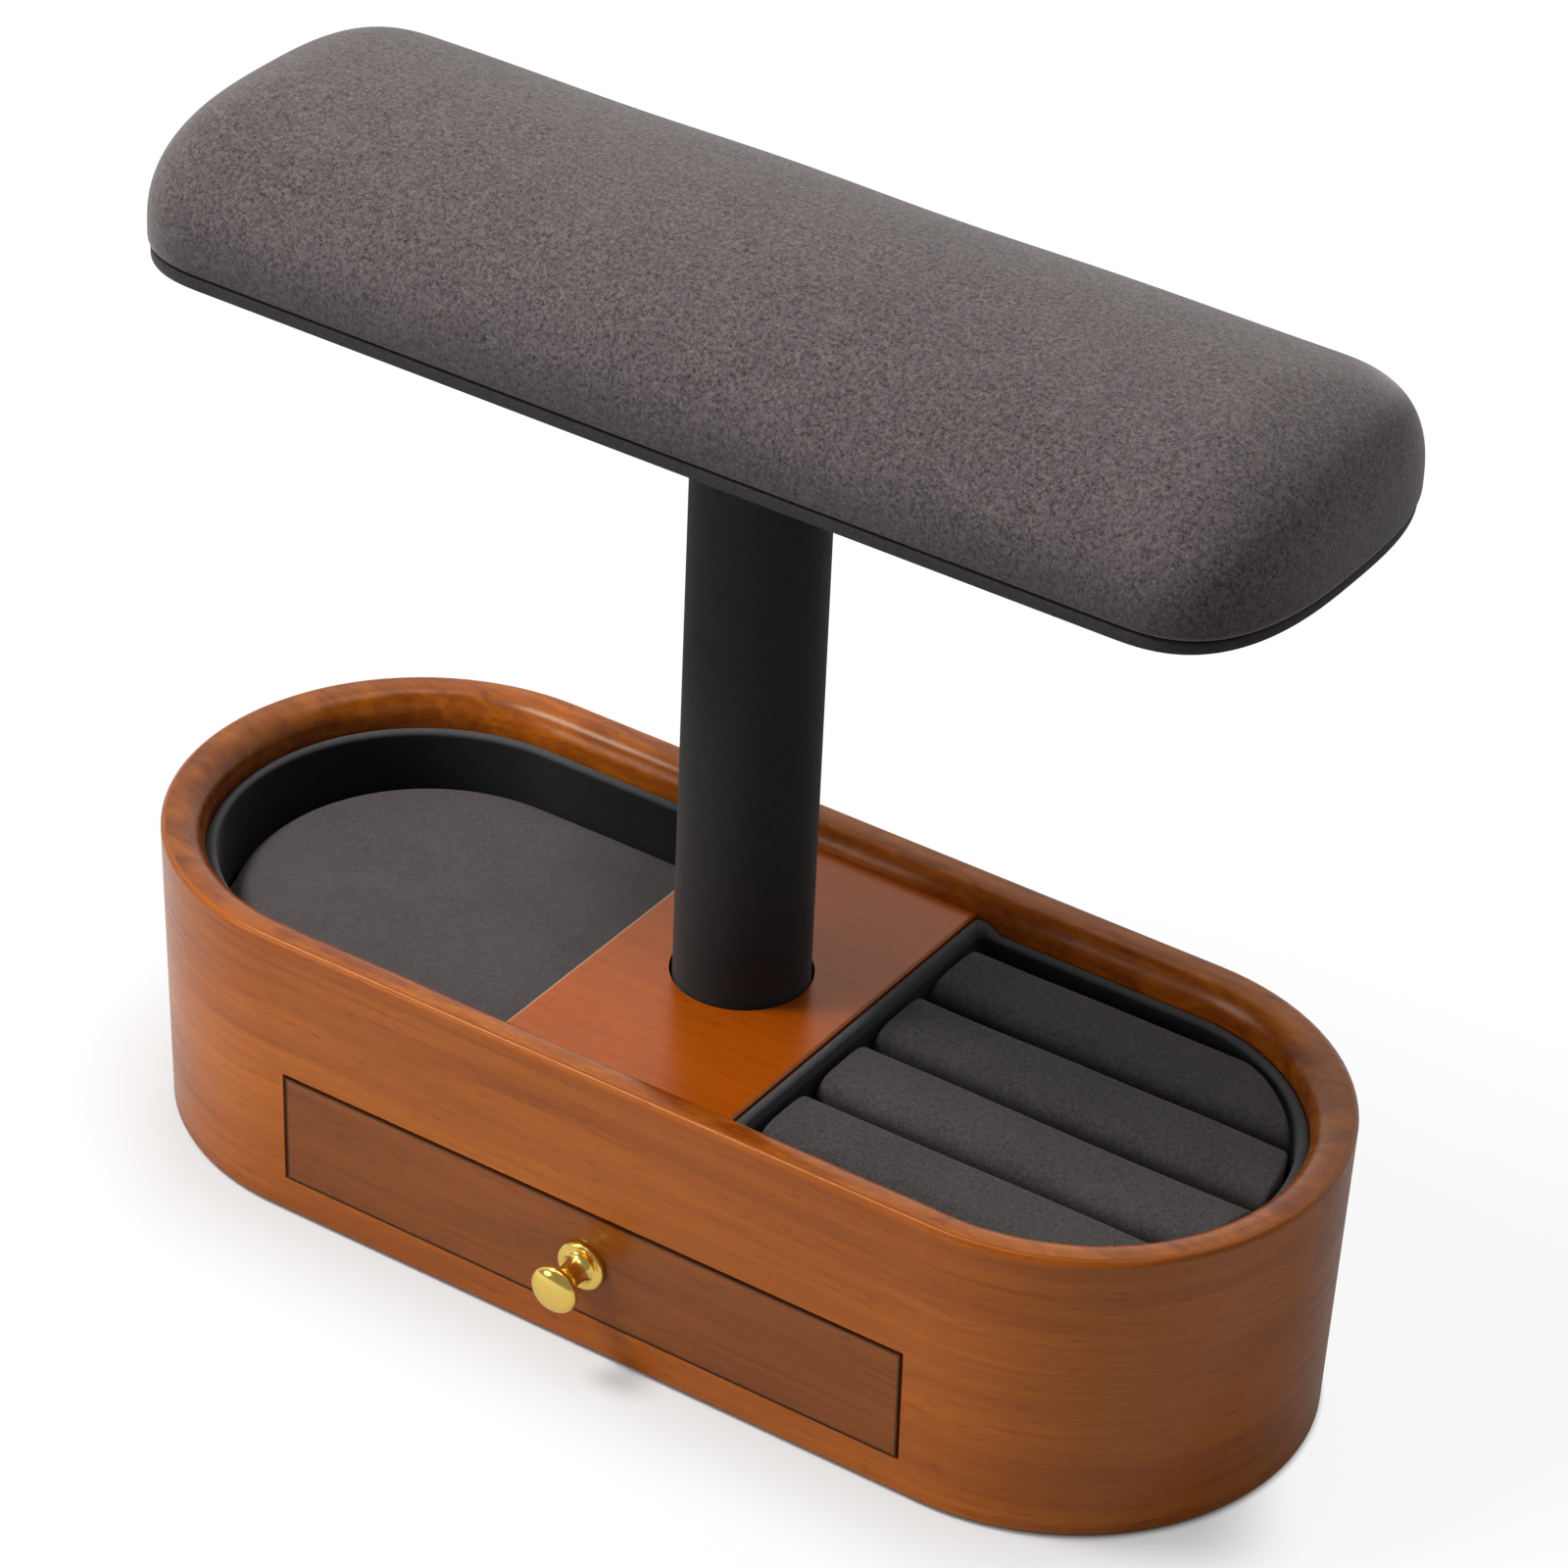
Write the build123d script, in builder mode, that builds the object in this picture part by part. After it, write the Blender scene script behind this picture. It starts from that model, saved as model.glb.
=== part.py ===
from build123d import *
import os
from math import atan, atan2, cos, degrees, radians, sin, sqrt

# Watch stand: a stadium-shaped wooden case with two lined trays and a drawer, and a post that carries a padded T-bar.
# Millimetres. The origin is the centre of the underside, +X runs along the case, the drawer opens towards -Y, +Z is up.

# Case
case_length = 240.0
case_width = 97.0
case_height = 61.5
case_lean = 1.5
rim_wall = 8.1
rim_round = 1.2
rim_inner_round = 5.0
foot_chamfer = 0.8
felt_thickness = 1.2
felt_proud = 0.3
base_panel_thickness = 6.8

# Drawer bay and deck
opening_width = 134.8
opening_height = 24.0
bay_headroom = 1.0
bay_side_thickness = 5.0
deck_thickness = 4.0
stop_length = 40.0
stop_thickness = 3.0
stop_height = 10.0

# Centre block
block_width = 48.6
block_drop = 4.2
block_chamfer = 0.4

# Trays
lining_thickness = 3.0
lip_drop = 6.4
lip_round = 1.3
pad_side_drop = 2.5
tray_board_thickness = 1.2
pad_thickness = 5.8
pad_round = 3.0
roll_count = 4
roll_drop = 6.8
roll_crown = 2.5
roll_shoulder = 5.0
roll_end_round = 2.0

# Post
post_diameter = 23.8
post_length = 144.0
sleeve_thickness = 0.6

# T-bar
bar_length = 228.0
bar_width = 77.0
bar_corner_radius = 18.3
bar_end_radius = 140.0
bar_plate_thickness = 2.2
bar_plate_chamfer = 0.3
bar_low_wall = 3.0
bar_crown = 23.5
bar_crown_exponent = 2.5
cover_thickness = 1.5

# Drawer
front_extra_depth = 3.0
drawer_side_thickness = 4.5
drawer_side_height = 20.0
drawer_bottom_thickness = 3.0
drawer_bottom_raise = 3.0
groove_depth = 2.0
drawer_back_thickness = 4.0
drawer_back_inset = 3.0
drawer_lining_thickness = 1.0
drawer_lining_drop = 0.5

# Knob
knob_length = 11.0
knob_flange_radius = 4.9
knob_flange_thickness = 1.5
knob_flange_chamfer = 0.4
knob_neck_radius = 2.4
knob_neck_flare = 1.0
knob_head_radius = 4.8
knob_head_thickness = 4.0
knob_head_flare = 1.2
knob_head_edge = 0.8

# Screws
post_screw_radius = 2.2
post_screw_length = 26.0
post_screw_head_radius = 4.4
bar_screw_radius = 1.5
bar_screw_length = 18.0
bar_screw_head_radius = 2.9
bar_screw_spacing = 12.0
knob_screw_radius = 1.5
knob_screw_head_radius = 3.0
knob_screw_head_height = 1.8
knob_screw_reach = 5.0

# Clearances
fit_gap = 0.1
wrap_gap = 0.05
screw_gap = 0.05
soft_gap = 0.3
drawer_side_gap = 0.6
drawer_top_gap = 0.7
drawer_run_gap = 0.3
stop_gap = 0.3
post_gap = 0.6
screw_sink = 0.15
roll_gap = 0.3

# Heights, built up from the floor
panel_bottom = felt_thickness
panel_top = panel_bottom + base_panel_thickness
opening_top = panel_top + opening_height
deck_bottom = opening_top + bay_headroom
deck_top = deck_bottom + deck_thickness
block_height = case_height - block_drop - deck_top
lining_height = case_height - lip_drop - deck_top
tray_board_top = deck_top + tray_board_thickness
roll_height = case_height - roll_drop - tray_board_top
plate_bottom = deck_top + post_length
plate_top = plate_bottom + bar_plate_thickness

# Plan sizes
lean_angle = degrees(atan(case_lean / case_height))
cavity_length = case_length - 2 * rim_wall
cavity_width = case_width - 2 * rim_wall
sleeve_radius = post_diameter / 2 + wrap_gap + sleeve_thickness
roll_space_width = cavity_width - 2 * (fit_gap + lining_thickness + soft_gap)
roll_pitch = roll_space_width / roll_count

# T-bar ends: a corner arc and a flat end arc that meet in a tangent
end_centre_x = bar_length / 2 - bar_end_radius
corner_centre_y = bar_width / 2 - bar_corner_radius
bar_straight_half = end_centre_x + sqrt((bar_end_radius - bar_corner_radius) ** 2 - corner_centre_y**2)
end_arc_angle = degrees(atan2(corner_centre_y, bar_straight_half - end_centre_x))
cover_shares = (1.0, 0.98, 0.92, 0.8, 0.6, 0.35, 0.1)
former_shares = (1.0, 0.92, 0.6, 0.1)

# Drawer box
box_half = opening_width / 2 - drawer_side_gap
box_inner_half = box_half - drawer_side_thickness
box_bottom = panel_top + drawer_run_gap
box_top = box_bottom + drawer_side_height
box_front = -cavity_width / 2
box_rear = cavity_width / 2 - fit_gap - stop_thickness - stop_gap
front_rear = box_front + front_extra_depth
back_rear = box_rear - drawer_back_inset
back_front = back_rear - drawer_back_thickness
groove_bottom = box_bottom + drawer_bottom_raise
groove_top = groove_bottom + drawer_bottom_thickness + fit_gap
front_bottom = box_bottom
front_top = opening_top - drawer_top_gap

# Where the knob stands on the leaning front
knob_height = (front_bottom + front_top) / 2
knob_face_y = -(case_width / 2 - case_lean * (1 - knob_height / case_height))
knob_outward = Vector(0, -cos(radians(lean_angle)), -sin(radians(lean_angle)))
knob_face = Plane(origin=(0, knob_face_y, knob_height), x_dir=(1, 0, 0), z_dir=knob_outward)
knob_section = Plane(origin=knob_face.origin, x_dir=(1, 0, 0), z_dir=Vector(1, 0, 0).cross(knob_outward))
knob_screw_grip = front_rear - knob_face_y - knob_screw_head_height - soft_gap


def stadium(length, width):
    """Two half circles of the full width joined by straight sides."""
    with BuildSketch() as outline:
        SlotOverall(length, width)
    return outline.sketch


def leaning_body():
    """The case's outer form: the rim's stadium, drawn in evenly down to the foot."""
    with BuildPart() as body:
        with BuildSketch(Plane.XY.offset(case_height)):
            add(stadium(case_length, case_width))
        extrude(amount=-(case_height - felt_proud), taper=lean_angle)
    return body.part


def tray_outline(side, inset):
    """The plan of one tray: the cavity's stadium cut off at the centre block, drawn in by inset all round."""
    near = block_width / 2 + fit_gap + inset
    far = case_length / 2
    margin = 2 * (fit_gap + inset)
    with BuildSketch() as outline:
        add(stadium(cavity_length - margin, cavity_width - margin))
        with Locations((side * (near + far) / 2, 0)):
            Rectangle(far - near, case_width, mode=Mode.INTERSECT)
    return outline.sketch


def bar_outline(share, inset):
    """The T-bar's plan, drawn in by inset, its two ends and its width scaled by share about the straight part."""
    half_width = (bar_width / 2 - inset) * share
    corner_y = corner_centre_y * share
    end_x = bar_straight_half - (bar_straight_half - end_centre_x) * share
    corner_radius = (bar_corner_radius - inset) * share
    end_radius = (bar_end_radius - inset) * share
    corner_turn = 90 - end_arc_angle
    with BuildSketch() as outline:
        with BuildLine():
            Line((-bar_straight_half, half_width), (bar_straight_half, half_width))
            CenterArc((bar_straight_half, corner_y), corner_radius, end_arc_angle, corner_turn)
            CenterArc((end_x, 0), end_radius, -end_arc_angle, 2 * end_arc_angle)
            CenterArc((bar_straight_half, -corner_y), corner_radius, -90, corner_turn)
            Line((bar_straight_half, -half_width), (-bar_straight_half, -half_width))
            CenterArc((-bar_straight_half, -corner_y), corner_radius, 180 + end_arc_angle, corner_turn)
            CenterArc((-end_x, 0), end_radius, 180 - end_arc_angle, 2 * end_arc_angle)
            CenterArc((-bar_straight_half, corner_y), corner_radius, 90, corner_turn)
        make_face()
    return outline.sketch


def crowned_bar(inset, shares):
    """A low upright wall with a crown on it: width and ends shrink by share as the height follows a superellipse."""
    crown_foot = plate_top + bar_low_wall
    with BuildPart() as bar:
        with BuildSketch(Plane.XY.offset(plate_top)):
            add(bar_outline(1, inset))
        extrude(amount=bar_low_wall)
        for share in shares:
            rise = (bar_crown - inset) * (1 - share**2) ** (1 / bar_crown_exponent)
            with BuildSketch(Plane.XY.offset(crown_foot + rise)):
                add(bar_outline(share, inset))
        loft(ruled=True)
    return bar.part


# Case shell: the leaning body hollowed by a straight cavity, with the drawer opening through its front wall
with BuildPart() as base_shell:
    add(leaning_body())
    with BuildSketch(Plane.XY):
        add(stadium(cavity_length, cavity_width))
    extrude(amount=case_height, mode=Mode.SUBTRACT)
    rim_face = base_shell.faces().sort_by(Axis.Z)[-1]
    fillet(rim_face.inner_wires()[0].edges(), rim_inner_round)
    rim_face = base_shell.faces().filter_by(GeomType.PLANE).sort_by(Axis.Z)[-1]
    fillet(rim_face.outer_wire().edges(), rim_round)
    foot_face = base_shell.faces().filter_by(GeomType.PLANE).sort_by(Axis.Z)[0]
    chamfer(foot_face.outer_wire().edges(), foot_chamfer)
    with BuildSketch(Plane.XZ):
        with Locations((0, (panel_top + opening_top) / 2)):
            Rectangle(opening_width, opening_height)
    extrude(amount=case_width, mode=Mode.SUBTRACT)
base_shell.part.label = "base_shell"

# Felt that the stand rests on, a little proud of the shell's foot
with BuildPart() as base_felt:
    with BuildSketch(Plane.XY):
        add(stadium(cavity_length - 2 * fit_gap, cavity_width - 2 * fit_gap))
    extrude(amount=felt_thickness)
base_felt.part.label = "base_felt"

# Base board, level with the sill of the drawer opening
with BuildPart() as base_panel:
    with BuildSketch(Plane.XY.offset(panel_bottom)):
        add(stadium(cavity_length - 2 * fit_gap, cavity_width - 2 * fit_gap))
    extrude(amount=base_panel_thickness)
base_panel.part.label = "base_panel"


def bay_side(side):
    """A board beside the drawer, from wall to wall, that guides the drawer and carries the deck."""
    with BuildPart() as board:
        with BuildSketch(Plane.XY.offset(panel_top)):
            add(stadium(cavity_length - 2 * fit_gap, cavity_width - 2 * fit_gap))
            with Locations((side * (opening_width + bay_side_thickness) / 2, 0)):
                Rectangle(bay_side_thickness, cavity_width, mode=Mode.INTERSECT)
        extrude(amount=deck_bottom - panel_top)
    return board.part


bay_side_left = bay_side(-1)
bay_side_left.label = "bay_side_left"
bay_side_right = bay_side(1)
bay_side_right.label = "bay_side_right"

# Strip at the back wall that stops the drawer flush with the case
with BuildPart() as drawer_stop:
    with BuildSketch(Plane.XY.offset(panel_top)):
        with Locations((0, cavity_width / 2 - fit_gap - stop_thickness / 2)):
            Rectangle(stop_length, stop_thickness)
    extrude(amount=stop_height)
drawer_stop.part.label = "drawer_stop"

# Deck over the drawer bay, with the countersunk hole of the post's screw
with BuildPart() as deck_panel:
    with BuildSketch(Plane.XY.offset(deck_bottom)):
        add(stadium(cavity_length - 2 * fit_gap, cavity_width - 2 * fit_gap))
    extrude(amount=deck_thickness)
    with Locations(Plane.XY.offset(deck_bottom).rotated((180, 0, 0))):
        CounterSinkHole(post_screw_radius + screw_gap, post_screw_head_radius + screw_gap + screw_sink)
deck_panel.part.label = "deck_panel"

# Wooden block across the middle, with the hole that the post passes through
with BuildPart() as centre_block:
    with BuildSketch(Plane.XY.offset(deck_top)):
        Rectangle(block_width, cavity_width - 2 * fit_gap)
    extrude(amount=block_height)
    chamfer(centre_block.edges().filter_by(Axis.Y).group_by(Axis.Z)[-1], block_chamfer)
    with BuildSketch(Plane.XY.offset(deck_top)):
        Circle(sleeve_radius + post_gap)
    extrude(amount=block_height, mode=Mode.SUBTRACT)
centre_block.part.label = "centre_block"


def tray_lining(side):
    """A wrapped card loop that lines the tray's walls and ends in a rounded lip."""
    with BuildPart() as lining:
        with BuildSketch(Plane.XY.offset(deck_top)):
            add(tray_outline(side, 0))
            add(tray_outline(side, lining_thickness), mode=Mode.SUBTRACT)
        extrude(amount=lining_height)
        fillet(lining.faces().sort_by(Axis.Z)[-1].inner_wires()[0].edges(), lip_round)
    return lining.part


def tray_board(side):
    """The card under a tray's soft filling."""
    with BuildPart() as board:
        with BuildSketch(Plane.XY.offset(deck_top)):
            add(tray_outline(side, lining_thickness + fit_gap))
        extrude(amount=tray_board_thickness)
    return board.part


def tray_filling(side, height, edge_round):
    """A soft block that fills the tray inside its lining, its top edge drawn in to a round."""
    with BuildPart() as filling:
        with BuildSketch(Plane.XY.offset(tray_board_top)):
            add(tray_outline(side, lining_thickness + soft_gap))
        extrude(amount=height)
        fillet(filling.faces().sort_by(Axis.Z)[-1].edges(), edge_round)
    return filling.part


# Beside the watch pad the lining stands lower along the block, out of the way of the watch
with BuildPart() as left_tray_lining:
    add(tray_lining(-1))
    with BuildSketch(Plane.XY.offset(deck_top + lining_height - pad_side_drop)):
        with Locations((-(block_width / 2 + fit_gap + lining_thickness / 2), 0)):
            Rectangle(lining_thickness, cavity_width - 2 * (fit_gap + lining_thickness))
    extrude(amount=pad_side_drop, mode=Mode.SUBTRACT)
left_tray_lining.part.label = "left_tray_lining"
left_tray_board = tray_board(-1)
left_tray_board.label = "left_tray_board"
left_tray_pad = tray_filling(-1, pad_thickness, pad_round)
left_tray_pad.label = "left_tray_pad"
right_tray_lining = tray_lining(1)
right_tray_lining.label = "right_tray_lining"
right_tray_board = tray_board(1)
right_tray_board.label = "right_tray_board"


def ring_roll(number):
    """A soft roll along the tray: an arched section, its ends cut to the lining's curve and drawn in to a round."""
    middle = (number - (roll_count - 1) / 2) * roll_pitch
    near = middle - (roll_pitch - roll_gap) / 2
    far = middle + (roll_pitch - roll_gap) / 2
    crown_top = tray_board_top + roll_height
    spring = crown_top - roll_crown
    with BuildPart() as roll:
        add(tray_filling(1, roll_height, roll_end_round))
        with BuildSketch(Plane.YZ.offset(block_width / 2)) as arch:
            with BuildLine():
                Polyline((near, spring), (near, tray_board_top), (far, tray_board_top), (far, spring))
                ThreePointArc((far, spring), (middle, crown_top), (near, spring))
            make_face()
            fillet(arch.vertices().group_by(Axis.Y)[-1], roll_shoulder)
        extrude(amount=case_length, mode=Mode.INTERSECT)
    return roll.part


ring_rolls = []
for number in range(roll_count):
    roll = ring_roll(number)
    roll.label = f"ring_roll_{number + 1}"
    ring_rolls.append(roll)

# Post: a wooden core in a fabric sleeve, screwed to the deck below and to the bar's plate above
with BuildPart() as post_core:
    with BuildSketch(Plane.XY.offset(deck_top)):
        Circle(post_diameter / 2)
    extrude(amount=post_length)
    with BuildSketch(Plane.XY.offset(deck_top)):
        Circle(post_screw_radius + screw_gap)
    extrude(amount=post_screw_length - deck_thickness + screw_gap, mode=Mode.SUBTRACT)
    with BuildSketch(Plane.XY.offset(plate_bottom)):
        with GridLocations(bar_screw_spacing, 1, 2, 1):
            Circle(bar_screw_radius + screw_gap)
    extrude(amount=-(bar_screw_length - bar_plate_thickness + screw_gap), mode=Mode.SUBTRACT)
post_core.part.label = "post_core"

with BuildPart() as post_sleeve:
    with BuildSketch(Plane.XY.offset(deck_top)):
        Circle(sleeve_radius)
        Circle(post_diameter / 2 + wrap_gap, mode=Mode.SUBTRACT)
    extrude(amount=post_length)
post_sleeve.part.label = "post_sleeve"


def countersunk_screw(radius, head_radius, length):
    """A screw along +Z with its flat head at the origin: a cone of 45 degrees and a plain shank."""
    with BuildPart() as screw:
        with BuildSketch(Plane.XZ):
            with BuildLine():
                Polyline(
                    (0, 0), (head_radius, 0), (radius, head_radius - radius), (radius, length), (0, length), (0, 0)
                )
            make_face()
        revolve(axis=Axis.Z)
    return screw.part


post_screw = Pos(0, 0, deck_bottom + screw_sink) * countersunk_screw(
    post_screw_radius, post_screw_head_radius, post_screw_length - screw_sink
)
post_screw.label = "post_screw"

# T-bar: a thin plate, a shaped former on it and the suede cover over the former
with BuildPart() as bar_plate:
    with BuildSketch(Plane.XY.offset(plate_bottom)):
        add(bar_outline(1, 0))
    extrude(amount=bar_plate_thickness)
    chamfer(bar_plate.faces().sort_by(Axis.Z)[-1].outer_wire().edges(), bar_plate_chamfer)
    with Locations(Plane.XY.offset(plate_top)):
        with GridLocations(bar_screw_spacing, 1, 2, 1):
            CounterSinkHole(
                bar_screw_radius + screw_gap, bar_screw_head_radius + screw_gap + screw_sink, counter_sink_angle=90
            )
bar_plate.part.label = "bar_plate"

with BuildPart() as bar_screws:
    with Locations(Location((0, 0, plate_top - screw_sink), (180, 0, 0))):
        with GridLocations(bar_screw_spacing, 1, 2, 1):
            add(countersunk_screw(bar_screw_radius, bar_screw_head_radius, bar_screw_length - screw_sink))
bar_screws.part.label = "bar_screws"

bar_former = crowned_bar(cover_thickness + fit_gap, former_shares)
bar_former.label = "bar_former"

with BuildPart() as bar_cover:
    add(crowned_bar(0, cover_shares))
    add(crowned_bar(cover_thickness, former_shares), mode=Mode.SUBTRACT)
bar_cover.part.label = "bar_cover"

# Drawer front: cut from the same leaning body, with rebates for the sides, a groove for the bottom and the knob's hole
with BuildPart() as drawer_front:
    add(leaning_body())
    with BuildSketch(Plane.XZ.offset(-front_rear)):
        with Locations((0, (front_bottom + front_top) / 2)):
            Rectangle(2 * box_half, front_top - front_bottom)
    extrude(amount=case_width, mode=Mode.INTERSECT)
    with BuildSketch(Plane.XZ.offset(-front_rear)):
        for side in (-1, 1):
            with Locations((side * (box_inner_half + drawer_side_thickness), (front_bottom + front_top) / 2)):
                Rectangle(2 * drawer_side_thickness, opening_height)
    extrude(amount=front_extra_depth, mode=Mode.SUBTRACT)
    with BuildSketch(Plane.XZ.offset(-front_rear)):
        with Locations((0, (groove_bottom + groove_top) / 2)):
            Rectangle(2 * box_half, groove_top - groove_bottom)
    extrude(amount=groove_depth, mode=Mode.SUBTRACT)
    with BuildSketch(knob_face):
        Circle(knob_screw_radius + screw_gap)
    extrude(amount=-rim_wall - 2 * front_extra_depth, mode=Mode.SUBTRACT)
    with BuildSketch(knob_face.offset(-knob_screw_grip)):
        Circle(knob_screw_head_radius + soft_gap)
    extrude(amount=-rim_wall - front_extra_depth, mode=Mode.SUBTRACT)
drawer_front.part.label = "drawer_front"


def drawer_side(side):
    """A drawer side with a groove for the bottom and a housing for the back."""
    middle = (box_front + box_rear) / 2
    with BuildPart() as board:
        with BuildSketch(Plane.XY.offset(box_bottom)):
            with Locations((side * (box_inner_half + drawer_side_thickness / 2), middle)):
                Rectangle(drawer_side_thickness, box_rear - box_front)
        extrude(amount=drawer_side_height)
        with BuildSketch(Plane.XY.offset(groove_bottom)):
            with Locations((side * box_inner_half, middle)):
                Rectangle(2 * groove_depth, box_rear - box_front)
        extrude(amount=groove_top - groove_bottom, mode=Mode.SUBTRACT)
        with BuildSketch(Plane.XY.offset(groove_top)):
            with Locations((side * box_inner_half, (back_front + back_rear) / 2)):
                Rectangle(2 * groove_depth, drawer_back_thickness + fit_gap)
        extrude(amount=drawer_side_height, mode=Mode.SUBTRACT)
    return board.part


drawer_side_left = drawer_side(-1)
drawer_side_left.label = "drawer_side_left"
drawer_side_right = drawer_side(1)
drawer_side_right.label = "drawer_side_right"

# Drawer bottom, in the grooves of the sides and the front, running back under the drawer's back
with BuildPart() as drawer_bottom:
    with BuildSketch(Plane.XY.offset(groove_bottom)):
        with Locations((0, (front_rear - groove_depth + fit_gap + box_rear) / 2)):
            Rectangle(2 * (box_inner_half + groove_depth - fit_gap), box_rear - front_rear + groove_depth - fit_gap)
    extrude(amount=drawer_bottom_thickness)
drawer_bottom.part.label = "drawer_bottom"

with BuildPart() as drawer_back:
    with BuildSketch(Plane.XY.offset(groove_bottom + drawer_bottom_thickness)):
        with Locations((0, (back_front + back_rear) / 2)):
            Rectangle(2 * (box_inner_half + groove_depth - fit_gap), drawer_back_thickness)
    extrude(amount=box_top - groove_bottom - drawer_bottom_thickness)
drawer_back.part.label = "drawer_back"

# Drawer lining: a thin open box of cloth on card
with BuildPart() as drawer_lining:
    lining_floor = groove_bottom + drawer_bottom_thickness
    lining_length = 2 * (box_inner_half - fit_gap)
    lining_depth = back_front - front_rear - 2 * fit_gap
    lining_rise = box_top - drawer_lining_drop - lining_floor
    with BuildSketch(Plane.XY.offset(lining_floor)):
        with Locations((0, (back_front + front_rear) / 2)):
            Rectangle(lining_length, lining_depth)
    extrude(amount=lining_rise)
    offset(amount=-drawer_lining_thickness, openings=drawer_lining.faces().sort_by(Axis.Z)[-1])
drawer_lining.part.label = "drawer_lining"

# Knob: turned brass, a flange on the drawer front, a neck flared at both ends and a thin domed head
with BuildPart() as knob:
    head_foot = knob_length - knob_head_thickness
    head_rim = head_foot + knob_head_flare
    head_edge_top = head_rim + knob_head_edge
    dome_rise = knob_length - head_edge_top
    dome_radius = (knob_head_radius**2 + dome_rise**2) / (2 * dome_rise)
    dome_middle = (knob_head_radius / 2, knob_length - dome_radius + sqrt(dome_radius**2 - (knob_head_radius / 2) ** 2))
    flared_radius = knob_neck_radius + knob_neck_flare
    thread_radius = knob_screw_radius + screw_gap
    thread_depth = knob_screw_reach + screw_gap
    with BuildSketch(knob_section):
        with BuildLine():
            Polyline(
                (0, knob_length),
                (0, thread_depth),
                (thread_radius, thread_depth),
                (thread_radius, 0),
                (knob_flange_radius, 0),
                (knob_flange_radius, knob_flange_thickness - knob_flange_chamfer),
                (knob_flange_radius - knob_flange_chamfer, knob_flange_thickness),
                (flared_radius, knob_flange_thickness),
                (knob_neck_radius, knob_flange_thickness + knob_neck_flare),
                (knob_neck_radius, head_foot - knob_neck_flare),
                (flared_radius, head_foot),
                (knob_head_radius, head_rim),
                (knob_head_radius, head_edge_top),
            )
            ThreePointArc((knob_head_radius, head_edge_top), dome_middle, (0, knob_length))
        make_face()
    revolve(axis=Axis(knob_face.origin, knob_outward))
knob.part.label = "knob"

# Screw from inside the drawer front into the knob, its flat head sunk in the front's back face
with BuildPart() as knob_screw:
    with BuildSketch(knob_section):
        with BuildLine():
            head_back = -knob_screw_grip - knob_screw_head_height
            Polyline(
                (0, head_back),
                (knob_screw_head_radius, head_back),
                (knob_screw_head_radius, -knob_screw_grip),
                (knob_screw_radius, -knob_screw_grip),
                (knob_screw_radius, knob_screw_reach),
                (0, knob_screw_reach),
                (0, head_back),
            )
        make_face()
    revolve(axis=Axis(knob_face.origin, knob_outward))
knob_screw.part.label = "knob_screw"

pieces = [
    base_shell.part,
    base_felt.part,
    base_panel.part,
    bay_side_left,
    bay_side_right,
    drawer_stop.part,
    deck_panel.part,
    centre_block.part,
    left_tray_lining.part,
    left_tray_board,
    left_tray_pad,
    right_tray_lining,
    right_tray_board,
    *ring_rolls,
    post_core.part,
    post_sleeve.part,
    post_screw,
    bar_plate.part,
    bar_screws.part,
    bar_former,
    bar_cover.part,
    drawer_front.part,
    drawer_side_left,
    drawer_side_right,
    drawer_bottom.part,
    drawer_back.part,
    drawer_lining.part,
    knob.part,
    knob_screw.part,
]
os.makedirs("parts", exist_ok=True)
for piece in pieces:
    export_step(piece, f"parts/{piece.label}.step")
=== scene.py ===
"""Watch stand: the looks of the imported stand, in metres, in the stand's own frame.

Wooden pieces, boards and screws stay as the frame gives them and get their finish here. What is soft or turned is
made anew as a surface worked out on a grid: the bar's suede cover and its cloth-covered plate, the watch pad, the
ring rolls, the tray linings, the post's sleeve, the felt and the knob.
"""

import bmesh
import bpy
import numpy as np
from mathutils import Matrix, Vector


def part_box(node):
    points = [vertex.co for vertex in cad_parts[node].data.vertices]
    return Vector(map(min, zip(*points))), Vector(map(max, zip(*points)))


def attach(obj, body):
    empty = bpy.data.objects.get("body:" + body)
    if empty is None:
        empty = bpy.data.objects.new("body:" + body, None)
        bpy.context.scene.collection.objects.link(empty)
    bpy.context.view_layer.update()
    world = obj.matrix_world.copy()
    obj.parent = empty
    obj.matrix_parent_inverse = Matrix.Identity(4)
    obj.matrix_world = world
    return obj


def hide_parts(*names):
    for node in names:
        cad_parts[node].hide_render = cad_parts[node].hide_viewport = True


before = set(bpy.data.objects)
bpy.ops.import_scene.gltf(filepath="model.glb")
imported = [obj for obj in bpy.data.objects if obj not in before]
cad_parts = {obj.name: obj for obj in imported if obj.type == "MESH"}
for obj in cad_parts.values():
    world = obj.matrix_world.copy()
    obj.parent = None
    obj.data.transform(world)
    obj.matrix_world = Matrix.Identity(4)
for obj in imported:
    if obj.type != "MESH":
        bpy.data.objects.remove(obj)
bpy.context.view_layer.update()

MM = 0.001
QUARTER = np.pi / 2

# Sizes read from the frame
CASE_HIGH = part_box("base_shell")[1]
BLOCK_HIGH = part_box("centre_block")[1]
FELT_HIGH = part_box("base_felt")[1]
COVER_LOW, COVER_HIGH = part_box("bar_cover")
SLEEVE_LOW, SLEEVE_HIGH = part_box("post_sleeve")
FRONT_LOW, FRONT_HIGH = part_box("drawer_front")
CASE_RADIUS = CASE_HIGH.y
CASE_STRAIGHT = CASE_HIGH.x - CASE_RADIUS

# How far the case's sides lean in from rim to foot
CASE_LEAN = 1.5 * MM
FOOT_RADIUS = CASE_RADIUS - CASE_LEAN

# The bar's ends in plan: how deep they are, how square, and how far they stand out past the CAD cover
BAR_END_DEPTH = 23 * MM
BAR_END_POWER = 2.75
BAR_OVERHANG = 0.4 * MM

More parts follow.
